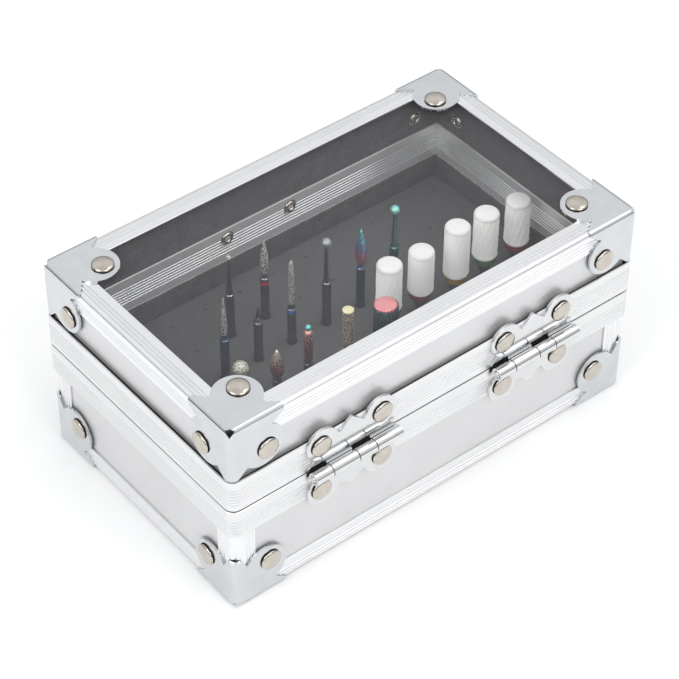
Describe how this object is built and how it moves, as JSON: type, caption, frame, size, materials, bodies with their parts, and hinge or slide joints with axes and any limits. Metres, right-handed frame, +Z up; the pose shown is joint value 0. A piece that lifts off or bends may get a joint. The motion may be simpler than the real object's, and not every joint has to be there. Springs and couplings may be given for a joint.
{
  "type": "nail bit storage case",
  "caption": "Small aluminium-framed hinged case with a clear lid window, riveted corner caps, a hasp latch and foam that holds upright rotary nail bits.",
  "frame": {"origin": "centre of the case's footprint, on the surface that it stands on", "axes": "+Z up, +Y towards the hinged back, +X towards the right-hand end as seen from the latch"},
  "size_m": [0.1282, 0.085, 0.0606],
  "materials": {
    "frame": "satin",
    "board": "satin",
    "cap": "polished",
    "hardware": "polished",
    "window": "gloss",
    "foam": "matte",
    "lining": "matte",
    "diamond_grit": "matte",
    "coated_steel": "gloss",
    "pink_grit": "satin",
    "white_ceramic": "satin"
  },
  "bodies": {
    "base": {"base_edge_back": "frame", "base_edge_front": "frame", "base_edge_left": "frame", "base_edge_right": "frame", "base_rim": "frame", "corner_post_back_left": "frame", "corner_post_back_right": "frame", "corner_post_front_left": "frame", "corner_post_front_right": "frame", "base_board_back": "board", "base_board_front": "board", "base_board_left": "board", "base_board_right": "board", "floor_board": "board", "base_cap_back_left": "cap", "base_cap_back_right": "cap", "base_cap_front_left": "cap", "base_cap_front_right": "cap", "hinge_left_lower_leaf": "hardware", "hinge_left_pin": "hardware", "hinge_right_lower_leaf": "hardware", "hinge_right_pin": "hardware", "latch_base_plate": "hardware", "foam_block": "foam", "base_lining": "lining", "bit_flame_grit": "diamond_grit", "bit_needle": "diamond_grit", "bit_taper": "diamond_grit", "bit_ball_large": "diamond_grit", "bit_ball_grey": "coated_steel", "bit_flame_rainbow": "coated_steel", "bit_ball_green": "coated_steel", "bit_carbide": "coated_steel", "bit_bullet": "pink_grit", "bit_barrel_grit": "pink_grit", "bit_ceramic_1": "white_ceramic", "bit_ceramic_2": "white_ceramic", "bit_ceramic_3": "white_ceramic", "bit_ceramic_4": "white_ceramic", "bit_ceramic_5": "white_ceramic"},
    "lid": {"lid_rim": "frame", "lid_board_back": "board", "lid_board_front": "board", "lid_board_left": "board", "lid_board_right": "board", "lid_edge_back": "frame", "lid_edge_front": "frame", "lid_edge_left": "frame", "lid_edge_right": "frame", "lid_cap_back_left": "cap", "lid_cap_back_right": "cap", "lid_cap_front_left": "cap", "lid_cap_front_right": "cap", "window": "window", "lid_lining": "lining", "hinge_left_upper_leaf": "hardware", "hinge_right_upper_leaf": "hardware", "latch_lid_plate": "hardware", "latch_pin": "hardware"},
    "hasp": {"latch_hasp": "hardware"}
  },
  "joints": [
    {"name": "lid_hinge", "type": "hinge", "parent": "base", "child": "lid", "pos_m": [0, 0.0408, 0.0335], "axis": [-1, 0, 0], "range_deg": [0, 180]},
    {"name": "hasp_hinge", "type": "hinge", "parent": "lid", "child": "hasp", "pos_m": [0, -0.0402, 0.0352], "axis": [-1, 0, 0], "range_deg": [-6.5, 110]}
  ]
}
